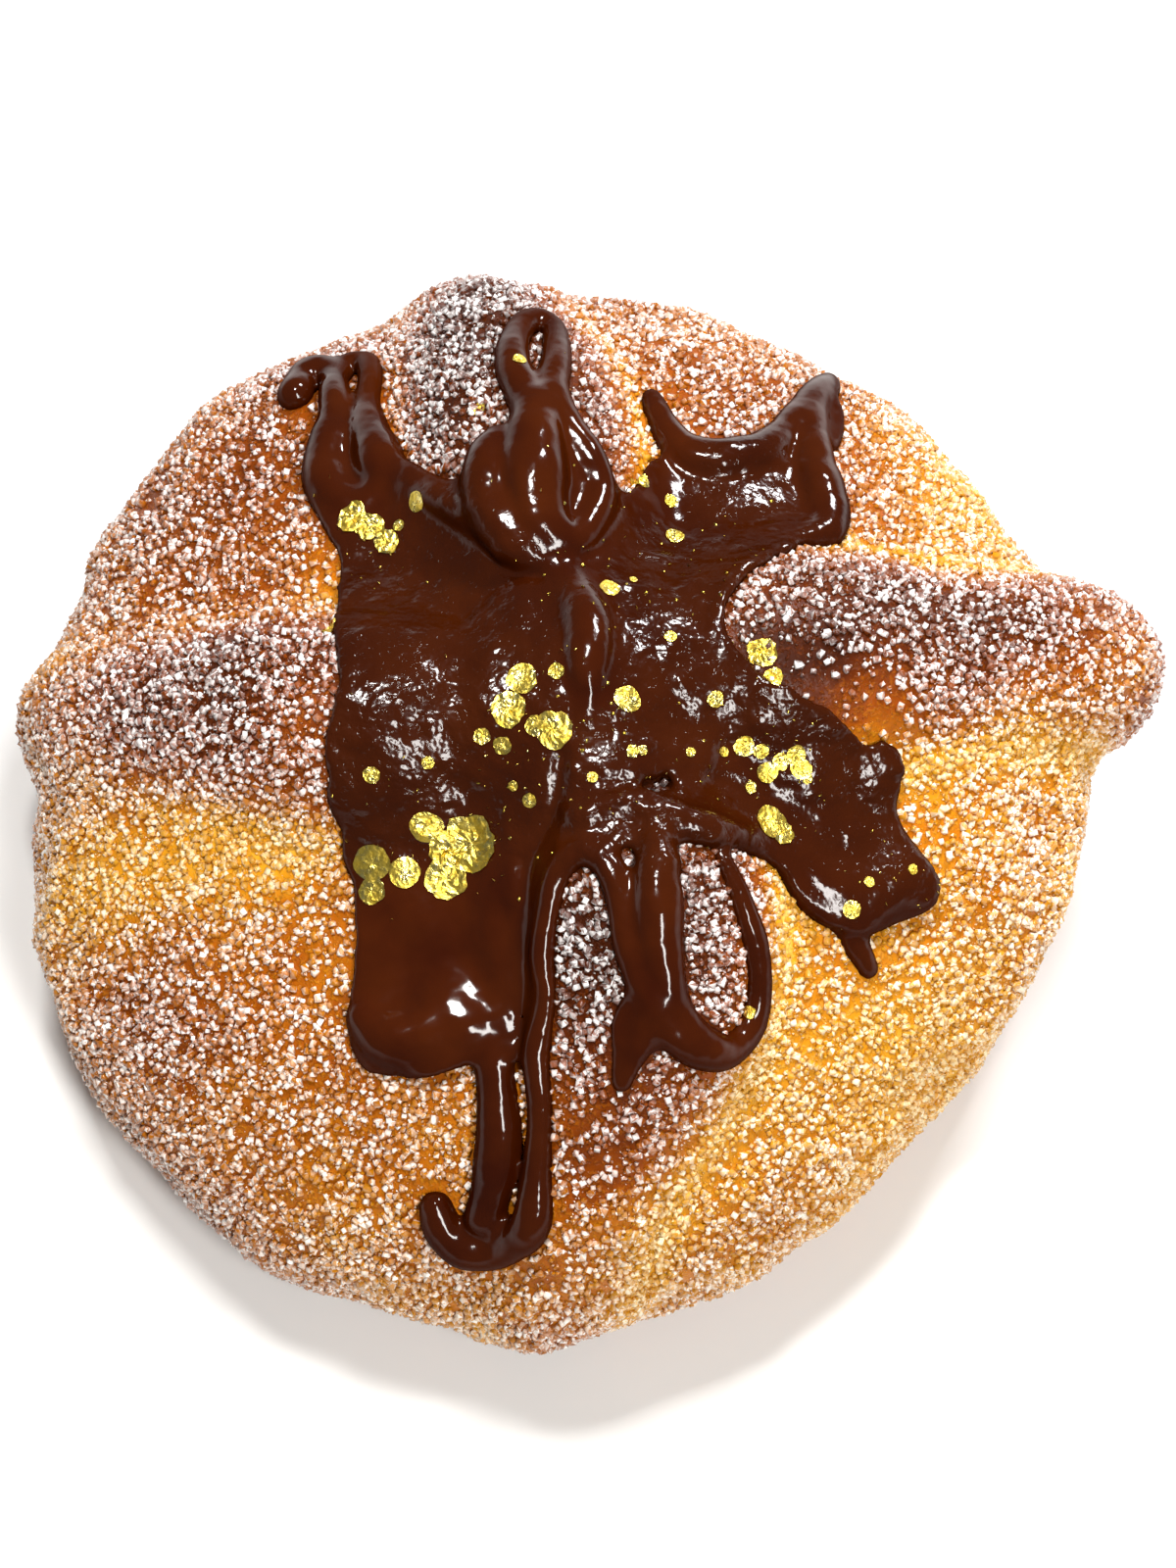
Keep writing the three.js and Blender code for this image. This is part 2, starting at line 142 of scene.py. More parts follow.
def bodyReach(direction):
    bearing = np.arctan2(direction[..., 1], direction[..., 0])
    radius = loaf["meanRadius"] + sum(size * np.cos(waves * (bearing - rad(peak)))
                                      for waves, size, peak in loaf["outlineWaves"])
    above = direction[..., 2] >= 0
    power = np.where(above, loaf["domePower"], loaf["underPower"])
    out = np.hypot(direction[..., 0], direction[..., 1]) / radius
    up = np.abs(direction[..., 2]) / np.where(above, loaf["domeHeight"], loaf["underHeight"])
    return 1 / (out**power + up**power) ** (1 / power)


def boneBeads(knots):
    bearing, tilt, radius, proud = curveThrough(knots, 10).T
    direction = directionAt(np.radians(bearing), np.radians(tilt))
    return direction * (bodyReach(direction) + proud - radius)[:, None], radius


def doughDistances(points):
    # distance from each point to the body, the four bones and the ball
    length = np.linalg.norm(points, axis=1)
    found = [length - bodyReach(points / length[:, None])]
    crown = np.array([[0, 0, 1.0]])
    ball = (crown * (bodyReach(crown) + loaf["ballProud"] - loaf["ballRadius"]), np.array([loaf["ballRadius"]]))
    for places, radii in [*map(boneBeads, loaf["bones"].values()), ball]:
        square = (points**2).sum(1)[:, None] + (places**2).sum(1) - 2 * points @ places.T
        found.append((np.sqrt(np.maximum(square, 0)) - radii).min(1))
    return found


def mapCrust():
    # how far the crust lies from the middle in every direction, with how near a crease it is
    side = np.arange(-mapHalf, mapHalf + mapStep / 2, mapStep)
    u, v = np.meshgrid(side, side, indexing="ij")
    direction = fromMap(u, v).reshape(-1, 3)
    reach = np.full(len(direction), 78.0)
    for turn in range(34):
        found = doughDistances(direction * reach[:, None])
        distance = found[0]
        for other in found[1:]:
            distance = blend(distance, other, loaf["creaseBlend"])
        reach -= np.clip(distance * (0.8 if turn < 30 else 1), -2, 4)
    nearest = np.sort(np.stack(found), axis=0)
    place = direction * reach[:, None]
    swell = sum(size * np.sin((place @ (x, y, z)) / 10 + x * 7) for x, y, z, size in loaf["swells"])
    lumps = loaf["lumps"] + loaf["rimLumps"] * smooth(*loaf["rimFrom"], direction[:, 2])
    swell += lumps * noiseSum(place, loaf["lumpSizes"])
    maps = {"reach": reach + swell, "crease": nearest[1] - nearest[0], "proud": reach - bodyReach(direction)}
    return {name: values.reshape(u.shape) for name, values in maps.items()}


def readMap(grid, u, v):
    x = np.clip((u + mapHalf) / mapStep, 0, grid.shape[0] - 1.001)
    y = np.clip((v + mapHalf) / mapStep, 0, grid.shape[1] - 1.001)
    i, j = x.astype(int), y.astype(int)
    a, b = x - i, y - j
    return ((grid[i, j] * (1 - b) + grid[i, j + 1] * b) * (1 - a)
            + (grid[i + 1, j] * (1 - b) + grid[i + 1, j + 1] * b) * a)


def onCrust(u, v, lift):
    direction = fromMap(u, v)
    return middle + direction * (readMap(crust["reach"], u, v) + lift)[..., None]


def makePiece(name, points, polygons, attributes=None):
    # polygons is a list of whole-number arrays, one row for each polygon; points are in millimetres
    mesh = bpy.data.meshes.new(name)
    mesh.vertices.add(len(points))
    mesh.vertices.foreach_set("co", (np.asarray(points) * mm).ravel())
    corners = np.concatenate([rows.ravel() for rows in polygons])
    sizes = np.concatenate([np.full(len(rows), rows.shape[1]) for rows in polygons])
    mesh.loops.add(len(corners))
    mesh.loops.foreach_set("vertex_index", corners.astype(np.int32))
    mesh.polygons.add(len(sizes))
    mesh.polygons.foreach_set("loop_start", (np.cumsum(sizes) - sizes).astype(np.int32))
    mesh.update(calc_edges=True)
    mesh.validate()
    for key, values in (attributes or {}).items():
        layer = mesh.attributes.new(key, "FLOAT", "POINT")
        layer.data.foreach_set("value", np.asarray(values, np.float32))
    mesh.polygons.foreach_set("use_smooth", np.ones(len(mesh.polygons), bool))
    piece = bpy.data.objects.new(name, mesh)
    bpy.context.scene.collection.objects.link(piece)
    return piece


class Wire:
    # one output of a node, so that sums written on it add Math nodes to its tree
    def __init__(self, tree, socket):
        self.tree = tree
        self.socket = socket

    def sum(self, operation, first, second):
        return self.tree.node("ShaderNodeMath", {"operation": operation}, {0: first, 1: second})

    def __add__(self, other):
        return self.sum("ADD", self, other)

    def __sub__(self, other):
        return self.sum("SUBTRACT", self, other)

    def __rsub__(self, other):
        return self.sum("SUBTRACT", other, self)

    def __mul__(self, other):
        return self.sum("MULTIPLY", self, other)

    __radd__ = __add__
    __rmul__ = __mul__

    def part(self, name):
        return Wire(self.tree, self.socket.node.outputs[name])


class Tree:
    # a shader or geometry tree whose nodes are all made by one method
    def __init__(self, nodeTree):
        self.nodeTree = nodeTree

    def node(self, kind, settings=None, inputs=None):
        made = self.nodeTree.nodes.new(kind)
        stops = None
        for key, value in (settings or {}).items():
            if key == "stops":
                stops = value
            else:
                setattr(made, key, value)
        if stops:
            ramp = made.color_ramp
            while len(ramp.elements) < len(stops):
                ramp.elements.new(0.5)
            for element, (position, colour) in zip(ramp.elements, stops):
                element.position = position
                element.color = (*colour, 1)
        for key, value in (inputs or {}).items():
            socket = made.inputs[key]
            if isinstance(value, Wire):
                self.nodeTree.links.new(value.socket, socket)
            else:
                socket.default_value = value
        return Wire(self, next(out for out in made.outputs if out.enabled) if made.outputs else None)

    def attribute(self, name):
        return self.node("ShaderNodeAttribute", {"attribute_name": name}).part("Fac")

    def noise(self, place, scale, detail=4.0):
        # scale is in lumps per millimetre
        return self.node("ShaderNodeTexNoise", None, {
            "Vector": place, "Scale": scale / mm, "Detail": detail}).part("Fac")

    def ramp(self, value, *stops):
        return self.node("ShaderNodeValToRGB", {"stops": stops}, {"Fac": value}).part("Color")

    def band(self, value, low, high, start=0.0, end=1.0):
        return self.node("ShaderNodeMapRange", {"interpolation_type": "SMOOTHSTEP"},
                         {"Value": value, "From Min": low, "From Max": high, "To Min": start, "To Max": end})

    def mixColours(self, share, first, second):
        return self.node("ShaderNodeMix", {"data_type": "RGBA"}, {0: share, 6: first, 7: second})

    def bump(self, height, distance, strength):
        return self.node("ShaderNodeBump", None, {
            "Height": height, "Distance": distance * mm, "Strength": strength})


def newMaterial(name, paint, fixed):
    # paint returns what varies over the surface; fixed holds what is the same all over it
    material = bpy.data.materials.new(name)
    material.use_nodes = True
    tree = Tree(material.node_tree)
    shader = material.node_tree.nodes["Principled BSDF"]
    for key, value in fixed.items():
        shader.inputs[key].default_value = value
    place = tree.node("ShaderNodeTexCoord").part("Object")
    painted = paint(tree, place)
    dull = painted.pop("Dull", None)
    for key, wire in painted.items():
        material.node_tree.links.new(wire.socket, shader.inputs[key])
    if dull:
        # where dull is 1 the finish has no gloss at all
        matte = tree.node("ShaderNodeBsdfPrincipled", None, {
            "Base Color": painted["Base Color"], "Roughness": 0.9, "Specular IOR Level": 0.0})
        mixed = tree.node("ShaderNodeMixShader", None, {0: dull, 1: Wire(tree, shader.outputs[0]), 2: matte})
        output = material.node_tree.nodes["Material Output"]
        material.node_tree.links.new(mixed.socket, output.inputs["Surface"])
    return material


print("mapping the crust")
crust = mapCrust()


# chocolate: a draped sheet with thick tongues, and strands piped over and past its edges
chocolate = {
    "thickness": 1.15, "thinnest": 0.45, "edgeRound": 0.8, "sink": 0.3, "outlineBlend": 1.6, "join": 0.9,
    "creaseFill": 0.6, "creaseWidth": 2.5, "strandLift": 0.3, "strandWobble": 0.1, "wobbleLength": 2.8,
    # thicker patches of the sheet: u, v, patch radius, extra thickness
    "thickPatches": [(-17, -38.5, 5, 2.2), (-24, -38, 4, 0.8), (35, -21, 11, 0.8), (-27, 32, 9, 0.5),
                     (37, -8.5, 3.5, 0.7), (39.5, -20, 4.2, 1.6), (32.5, -24, 4.5, 1.1), (28, -13, 5, 0.5),
                     (4.5, -39, 4, -0.4)],
    # furrows in the sheet: their points, half width and depth
    "furrows": [([(-7.4, -21), (-7.8, -30), (-7.8, -39)], 0.9, 1.5),
                ([(-20, 23), (-12, 17), (-6, 14)], 1.2, 0.5), ([(-3, -9), (-4, -15), (-7, -21)], 1.0, 0.8),
                ([(-10, -27), (-9, -33), (-9.5, -37)], 1.6, 0.7)],
    "holes": [(7.4, -12.5, 0.9), (9.2, -11.8, 1)],
    "raggedEdge": [(0.32, 3.2, 21), (0.12, 1.2, 22)],
    "bumpHeight": 0.32, "bumpSize": 1.5, "lumpHeight": 0.4, "lumpSize": 4.2, "swell": 0.08, "swellSize": 3.2,
    # no gloss where the surface is steep, or thin and leaning away from the picture's camera
    "steepFrom": (0.72, 0.5), "mirrorFrom": (0.32, 0.05), "coatBelow": (2.4, 1.8),
    "picture": (0, -0.309, 0.951),
    "voxel": 0.36, "quickVoxel": 0.6, "margin": 2.5, "shell": (-1.4, 7.5), "relaxShare": 0.5, "relaxTurns": 5,
    "outlines": {
        "centre": [(-31, 27.5), (-30, 12.5), (-26.5, 1), (-29, -10.5), (-29, -20), (-20, -25.5), (-7, -23.5),
                   (0, -20), (11, -17.5), (20, -17.5), (32, -16), (28.5, -3.5), (20.5, 1), (15.5, 8),
                   (16.5, 16), (16, 26), (5, 27.5), (0, 29.5), (-6.5, 30), (-11.5, 28.5), (-16.5, 26.5),
                   (-24.5, 31)],
        "leftTongue": [(-29.5, -17.5), (-28.5, -27.5), (-28, -36), (-25.5, -40.5), (-22, -42), (-17.5, -42),
                       (-12.5, -41.5), (-6.5, -40.5), (-5, -33), (-4.5, -23), (-4.5, -14.5), (-21, -11)],
        "rightTongue": [(12.5, -6.5), (17, -3), (20, 1), (24, -0.5), (28.5, -2), (33, -4.5), (35.5, -4.5),
                        (37.5, -5.5), (38.5, -9), (39, -13), (41.5, -17), (42.5, -20), (41, -24),
                        (37.5, -26.5), (33, -27.5), (29, -27), (26.5, -24.5), (24, -21), (20, -18.5),
                        (11, -17)],
        "upperRight": [(5, 27.5), (9.5, 36), (18.5, 35.5), (27, 40), (29.5, 31.5), (29, 24), (19, 15),
                       (11.5, 7), (2.5, 9.5), (0, 20)],
        "upperLeft": [(-34, 31), (-32, 36.5), (-29.5, 39), (-25, 39), (-23, 33), (-16, 25.5), (-22, 20),
                      (-30.5, 22), (-33.5, 27)],
        "flap": [(5.5, -32), (3, -34.5), (2.2, -37.5), (2.2, -40), (3, -42), (4.3, -41), (5.8, -39),
                 (8, -37.5), (9, -35.5)],
    },
    # piped strands: points of u, v and girth radius
    "strands": {
        "archAndLoop": [(-17, -54, 1.8), (-16, -56, 2.1), (-14, -57.5, 2.3), (-11, -58, 2.2),
                        (-8, -56.5, 2.1), (-6, -54, 1.9), (-5.5, -50, 1.6), (-5.2, -45, 1.3),
                        (-5.7, -40, 1.6), (-4.6, -35, 1.1), (-5.1, -31, 1.4), (-4.5, -26.5, 1.2),
                        (-3.5, -22.5, 1.4), (-1.5, -20, 1.5),
                        (0.5, -20, 1.5), (2.5, -21.5, 1.5), (3.5, -24.5, 1.4), (4, -28, 1.4), (5, -31, 1.5),
                        (7, -34, 1.7), (9, -36.5, 1.8), (12, -38.5, 1.8), (15.5, -39, 1.8),
                        (18.5, -37.5, 1.6), (19.5, -34, 1.5), (19, -29.5, 1.4), (17.5, -25, 1.2),
                        (15.5, -20, 1)],
        "hookStrand": [(-11, -40.3, 1.5), (-10.7, -43.5, 2.2), (-10, -48, 2.4), (-10.5, -52, 2.3),
                       (-11.5, -55, 2.2)],
        "thickStrand": [(7.7, -17.3, 1.2), (7.5, -20.5, 2.2), (7.3, -25, 2.5), (7.7, -30, 2.3),
                        (8.7, -33.5, 1.8), (10.5, -36, 1.6), (13, -38, 1.7)],
        "pointedDrip": [(6, -34.5, 1.3), (5, -38, 1.0), (3.6, -41, 0.7)],
        "tongueLip": [(-26, -36.5, 1.9), (-23.5, -38.5, 2.6), (-20, -39, 2.8), (-16.5, -38.7, 2.5),
                      (-13, -38.7, 1.9), (-10.5, -38, 1.4)],
        "topLoop": [(-6, 32, 2), (-7, 34.5, 2), (-8, 37.5, 1.9), (-8, 41, 1.7), (-7, 44, 1.5),
                    (-5.5, 45.5, 1.4), (-4, 45, 1.4), (-3.5, 42.5, 1.5), (-3.5, 39, 1.7), (-4, 35.5, 1.9),
                    (-4.5, 32, 2)],
        "teardrop": [(-5.5, 32.5, 2.2), (-6, 28, 2.9), (-6, 23.5, 3.2), (-5.5, 20, 3), (-2.5, 18.5, 2.3),
                     (0, 21, 1.9), (1.5, 25.5, 1.7), (0, 29, 1.7), (-2, 31, 1.7), (-4, 34, 1.8)],
        "topFold": [(-10, 29, 1.6), (-11, 26.5, 2.4), (-11, 23, 2.9), (-9.5, 19.5, 2.8), (-7, 17, 2.1),
                    (-4, 16, 1.4)],
        "leftCurl": [(-34, 42.5, 1.9), (-33, 45.5, 2), (-31, 46.5, 1.8), (-30, 44.5, 1.6), (-30, 40.5, 1.8),
                     (-31, 36.5, 2.2), (-32, 32.5, 2.2), (-31, 29, 1.9), (-28, 27.5, 1.5)],
        "leftEye": [(-29.5, 46.5, 1.3), (-28.5, 48.5, 1.3), (-26.5, 48, 1.4), (-26, 45, 1.4),
                    (-26.5, 41.5, 1.4), (-26.5, 38, 2), (-25.5, 33.5, 2.7), (-25, 31, 2.2), (-27, 29, 1.6)],
        "leftRidge": [(-23, 31, 1.7), (-18.5, 26.5, 1.7), (-13.5, 22, 1.6), (-9, 18.5, 1.5), (-5, 16, 1.2)],
        "rightRibbon": [(8, 43.5, 1.2), (9, 41.5, 1.4), (10.5, 39, 1.6), (13, 36.5, 2.1), (17, 35.3, 2.4),
                        (21.5, 36, 2.3), (24.5, 39, 2), (27, 43, 1.8), (29, 46.5, 1.8), (30, 48.5, 1.4)],
        "rightEdge": [(28, 43.5, 1.6), (28, 38.5, 2), (28.7, 34, 2.4), (30, 30.5, 2.6), (30.7, 27.3, 2.3),
                      (29.8, 25, 1.9), (28, 24, 1.4)],
        "rightEye": [(30, 45.5, 0.9), (31, 43.5, 0.8), (31, 40.5, 0.8), (30.5, 38, 0.8)],
        "midRidge": [(-3.5, 16, 1.5), (-1, 10, 2), (0, 5.5, 2.2), (0, 1, 1.9), (0, -4.5, 1.1)],
        "armRidge": [(4.5, -8.5, 1.2), (11.5, -8.5, 1.3), (19, -9.5, 1.4), (24.5, -12.5, 1.2)],
        "crossStrand": [(-1, -16, 1.6), (4.5, -14.5, 1.6), (11.5, -16.5, 1.8), (19.5, -18, 1.5),
                        (26, -19, 1.7), (31, -22.5, 1.9), (34.5, -25, 1.8)],
        "rightRim": [(36.5, -6, 1.3), (38, -9, 1.2), (38, -12, 1.3), (38.5, -15, 1.6), (39.5, -18, 2),
                     (40, -20.5, 2.1), (38.5, -23.5, 2.1), (35, -25, 1.9), (31.5, -25.5, 1.6),
                     (29, -25, 1.2)],
        "rightDrip": [(33.5, -26.5, 1.5), (34.5, -29, 1.4), (36, -31.5, 1.1)],
    },
}


def outlineDistance(u, v, outline):
    # how far each place is outside the outline, negative inside it
    ring = curveThrough(outline, 5, closed=True)
    nearest = np.full(u.shape, 1e9)
    inside = np.zeros(u.shape, bool)
    for (au, av), (bu, bv) in zip(ring, np.roll(ring, -1, axis=0)):
        du, dv = bu - au, bv - av
        t = np.clip(((u - au) * du + (v - av) * dv) / (du * du + dv * dv), 0, 1)
        nearest = np.minimum(nearest, (u - au - t * du) ** 2 + (v - av - t * dv) ** 2)
        inside ^= ((av > v) != (bv > v)) & (u < au + (v - av) * du / (dv or 1e-9))
    return np.where(inside, -1, 1) * np.sqrt(nearest)


def pathDistance(u, v, points):
    # the distance to the nearest of some sample points, less their girth where they have one
    nearest = np.full(u.shape, 1e9)
    for spot in curveThrough(points, 8):
        girth = spot[2] if len(spot) == 3 else 0
        nearest = np.minimum(nearest, np.hypot(u - spot[0], v - spot[1]) - girth)
    return nearest


def mapChocolate():
    side = np.arange(-mapHalf, mapHalf + mapStep / 2, mapStep)
    u, v = np.meshgrid(side, side, indexing="ij")
    near = (np.abs(u) < 52) & (np.abs(v) < 64)  # nothing is poured beyond this
    places = u[near], v[near]
    sheet = np.full(places[0].shape, 99.0)
    for outline in chocolate["outlines"].values():
        sheet = blend(sheet, outlineDistance(*places, outline), chocolate["outlineBlend"])
    for hu, hv, radius in chocolate["holes"]:
        sheet = np.maximum(sheet, radius - np.hypot(places[0] - hu, places[1] - hv))
    height = np.full(places[0].shape, chocolate["thickness"])
    for pu, pv, radius, extra in chocolate["thickPatches"]:
        height += extra * fade(*places, (pu, pv), radius, 4)
    height += chocolate["creaseFill"] * np.exp(-((crust["crease"][near] / chocolate["creaseWidth"]) ** 2))
    for points, width, depth in chocolate["furrows"]:
        height -= depth * np.exp(-((pathDistance(*places, points) / width) ** 2))
    height = np.maximum(height, chocolate["thinnest"])
    cover = sheet.copy()
    for route in chocolate["strands"].values():
        cover = np.minimum(cover, pathDistance(*places, route))
    for name, values in (("sheet", sheet), ("thickness", height), ("cover", cover)):
        crust[name] = np.full(u.shape, 99.0)
        crust[name][near] = values


def strandDistance(points, route):
    u, v, girth = curveThrough(route, 8).T
    wobble = softNoise(np.stack([u, v, girth], 1), chocolate["wobbleLength"], 5)
    girth = girth * (1 + chocolate["strandWobble"] * wobble)
    centres = onCrust(u, v, chocolate["strandLift"] * girth)
    found = np.full(len(points), 9.0)
    for start in range(0, len(centres) - 1, 12):
        group, radii = centres[start:start + 13], girth[start:start + 13]
        low, high = group.min(0) - radii.max() - 2, group.max(0) + radii.max() + 2
        near = np.flatnonzero(((points > low) & (points < high)).all(1))
        square = ((points[near, None] - group) ** 2).sum(2)
        found[near] = np.minimum(found[near], (np.sqrt(square) - radii).min(1))
    return found


def roughness(u, v):
    # 1 where the chocolate is thin and sugar grains show through it, 0 on the thick smooth tongues
    band = smooth(-27, -16, v) * smooth(30, 20, v) * smooth(-34, -28, u)
    rightTongue = 0.55 * fade(u, v, (33, -19), 10, 4)
    band *= 1 - 0.75 * fade(u, v, (-4, 22), 9, 4)  # the teardrop
    band *= 1 - 0.8 * np.exp(-((u / 3) ** 2)) * smooth(-6, -3, v)  # the middle ridge
    upperCorner = 0.8 * fade(u, v, (20, 29), 8.5, 4)
    return np.maximum(band, np.maximum(rightTongue, upperCorner))


def chocolateField(points, u, v, height):
    flat = np.stack([u, v, np.zeros_like(u)], 1)
    edge = readMap(crust["sheet"], u, v) + noiseSum(flat, chocolate["raggedEdge"])
    curve = chocolate["edgeRound"]
    a = edge + curve
    b = height - readMap(crust["thickness"], u, v) + curve
    field = np.minimum(np.maximum(a, b), 0) + np.hypot(np.maximum(a, 0), np.maximum(b, 0)) - curve
    for route in chocolate["strands"].values():
        field = blend(field, strandDistance(points, route), chocolate["join"])
    near = np.flatnonzero(np.abs(field) < 0.9)
    spots, rough = points[near], roughness(u[near], v[near])
    grains = smooth(0.2, 0.8, softNoise(spots, chocolate["bumpSize"], 31))
    lumpy = chocolate["lumpHeight"] * fade(u[near], v[near], (35, -19), 9, 4)
    field[near] -= lumpy * softNoise(spots, chocolate["lumpSize"], 33)
    field[near] -= chocolate["bumpHeight"] * rough * grains
    field[near] -= (chocolate["swell"] + 0.14 * rough) * softNoise(spots, chocolate["swellSize"], 32)
    return np.maximum(field, -chocolate["sink"] - height)


def netSurface(field):
    # one corner in every cell that the surface crosses, joined into four-sided faces across each crossed edge
    inside = field < 0
    strides = np.array([field.shape[1] * field.shape[2], field.shape[2], 1])
    rings, spots = [], []
    for axis in range(3):
        low, high = [slice(None)] * 3, [slice(None)] * 3
        low[axis], high[axis] = slice(0, -1), slice(1, None)
        crossing = np.argwhere(inside[tuple(low)] != inside[tuple(high)])
        beyond = crossing.copy()
        beyond[:, axis] += 1
        first, second = field[tuple(crossing.T)], field[tuple(beyond.T)]
        spot = crossing.astype(float)
        spot[:, axis] += first / (first - second)
        b, c = (axis + 1) % 3, (axis + 2) % 3
        ring = np.stack([crossing @ strides - db * strides[b] - dc * strides[c]
                         for db, dc in ((0, 0), (1, 0), (1, 1), (0, 1))], 1)
        rings.append(np.where((second > first)[:, None], ring, ring[:, ::-1]))
        spots.append(np.repeat(spot, 4, axis=0))
    cells, corner = np.unique(np.concatenate(rings).ravel(), return_inverse=True)
    spots = np.concatenate(spots)
    count = np.bincount(corner, minlength=len(cells))
    points = np.stack([np.bincount(corner, spots[:, k], len(cells)) / count for k in range(3)], 1)
    return points, corner.reshape(-1, 4)


def relax(points, faces):
    share = chocolate["relaxShare"]
    for _ in range(chocolate["relaxTurns"]):
        total, count = np.zeros_like(points), np.zeros(len(points))
        for k in range(4):
            for other in (faces[:, (k + 1) % 4], faces[:, (k + 3) % 4]):
                count += np.bincount(faces[:, k], minlength=len(points))
                total += np.stack([np.bincount(faces[:, k], points[other, axis], len(points))
                                   for axis in range(3)], 1)
        points = points * (1 - share) + share * total / count[:, None]
    return points


def makeChocolate():
    step = chocolate["voxel"]
    box = np.array(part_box("chocolate")) / mm + np.outer([-1, 1], [chocolate["margin"]] * 3)
    size = np.ceil((box[1] - box[0]) / step).astype(int)
    field = np.ones(size, np.float32)
    side = [box[0][k] + step * np.arange(size[k]) for k in range(3)]
    kept = []
    for i, x in enumerate(side[0]):
        y, z = np.meshgrid(side[1], side[2], indexing="ij")
        points = np.stack([np.full(y.size, x), y.ravel(), z.ravel()], 1)
        away = points - middle
        length = np.linalg.norm(away, axis=1)
        u, v = toMap(away / length[:, None])
        height = length - readMap(crust["reach"], u, v)
        low, high = chocolate["shell"]
        near = np.flatnonzero((height > low) & (height < high) & (readMap(crust["cover"], u, v) < 3))
        kept.append(np.stack([near + i * y.size, *points[near].T, u[near], v[near], height[near]], 1))
    kept = np.concatenate(kept)
    field.ravel()[kept[:, 0].astype(int)] = chocolateField(kept[:, 1:4], kept[:, 4], kept[:, 5], kept[:, 6])
    points, faces = netSurface(field)
    points = relax(points, faces) * step + box[0]
    u, v = toMap((points - middle) / np.linalg.norm(points - middle, axis=1)[:, None])
    flecks = sum(fade(u, v, spot, radius) for *spot, radius in gold["fleckPatches"])
    piece = makePiece("chocolateDrape", points, [faces], {"thin": roughness(u, v), "flecks": flecks})

    normals = np.zeros(3 * len(points), np.float32)
    piece.data.vertices.foreach_get("normal", normals)
    normals = normals.reshape(-1, 3)
    above = np.linalg.norm(points - middle, axis=1) - readMap(crust["reach"], u, v)
    # a thin coat that leans away would mirror the floor in streaks
    mirrored = 2 * normals @ chocolate["picture"] * normals[:, 2] - chocolate["picture"][2]
    leaning = smooth(*chocolate["mirrorFrom"], mirrored) * smooth(0, 0.2, normals[:, 1])
    leaning *= smooth(*chocolate["coatBelow"], above)
    steep = np.maximum(smooth(*chocolate["steepFrom"], normals[:, 2]), leaning)
    layer = piece.data.attributes.new("steep", "FLOAT", "POINT")
    layer.data.foreach_set("value", steep.astype(np.float32))
    print("chocolate", len(points), "points", 2 * len(faces), "triangles")
    return piece


# the loaf: a square grid wrapped over the dome, closed by its flat base
bake = {
    "base": 0.6, "onBones": 0.25, "boneHeights": (0.5, 7), "inCreases": 0.42, "creaseWidth": 1.7,
    "atFoot": 0.15, "footHeights": (8, 1), "blotches": [(0.1, 14, 43), (0.06, 5, 44)],
    # patches: u, v, radius, how much browner; the last one darkens the crust seen through the chocolate's
    # holes, which is painted shade
    "patches": [(46, -46, 32, -0.38), (-40, 30, 24, 0.1), (-31, 18, 9, -0.16), (-30, -4, 5, -0.15),
                (-46, -36, 22, -0.02), (44, 12, 16, 0.06), (48, 36, 15, -0.24), (20, 42, 12, 0.1),
                (6, -64, 14, -0.12), (-26, -62, 16, -0.12), (0, 52, 14, 0.08), (58, 9, 9, -0.3),
                (49, 4, 5, -0.2), (62, -12, 12, -0.1), (-58, -14, 8, -0.2), (-30, 12, 7, -0.16),
                (-13, 42, 12, 0.1), (3, -27, 12, 0.15), (22, 3, 6, 0.12), (34, -1.5, 6, -0.08),
                (-47, -15, 8, -0.26), (-37, -16, 7, -0.28), (31, -4, 6, -0.12), (27, 1, 6, 0.13),
                # painted shade: the crust at the bottom of the chocolate's holes
                (8, -12.2, 3, 0.5)],
}


def rimTilt(bearing):
    # the tilt at which the crust comes down to the floor
    turns = np.linspace(-np.pi, np.pi, 721)
    tilt = np.radians(np.arange(80, 125, 0.05))
    direction = directionAt(turns[:, None], tilt[None])
    heights = readMap(crust["reach"], *toMap(direction)) * direction[..., 2] + loaf["waistHeight"]
    first = np.argmax(heights < 0, axis=1)
    rows = np.arange(len(turns))
    above, below = heights[rows, first - 1], heights[rows, first]
    found = tilt[first - 1] + (tilt[1] - tilt[0]) * above / (above - below)
    return np.interp((bearing + np.pi) % (2 * np.pi) - np.pi, turns, found)


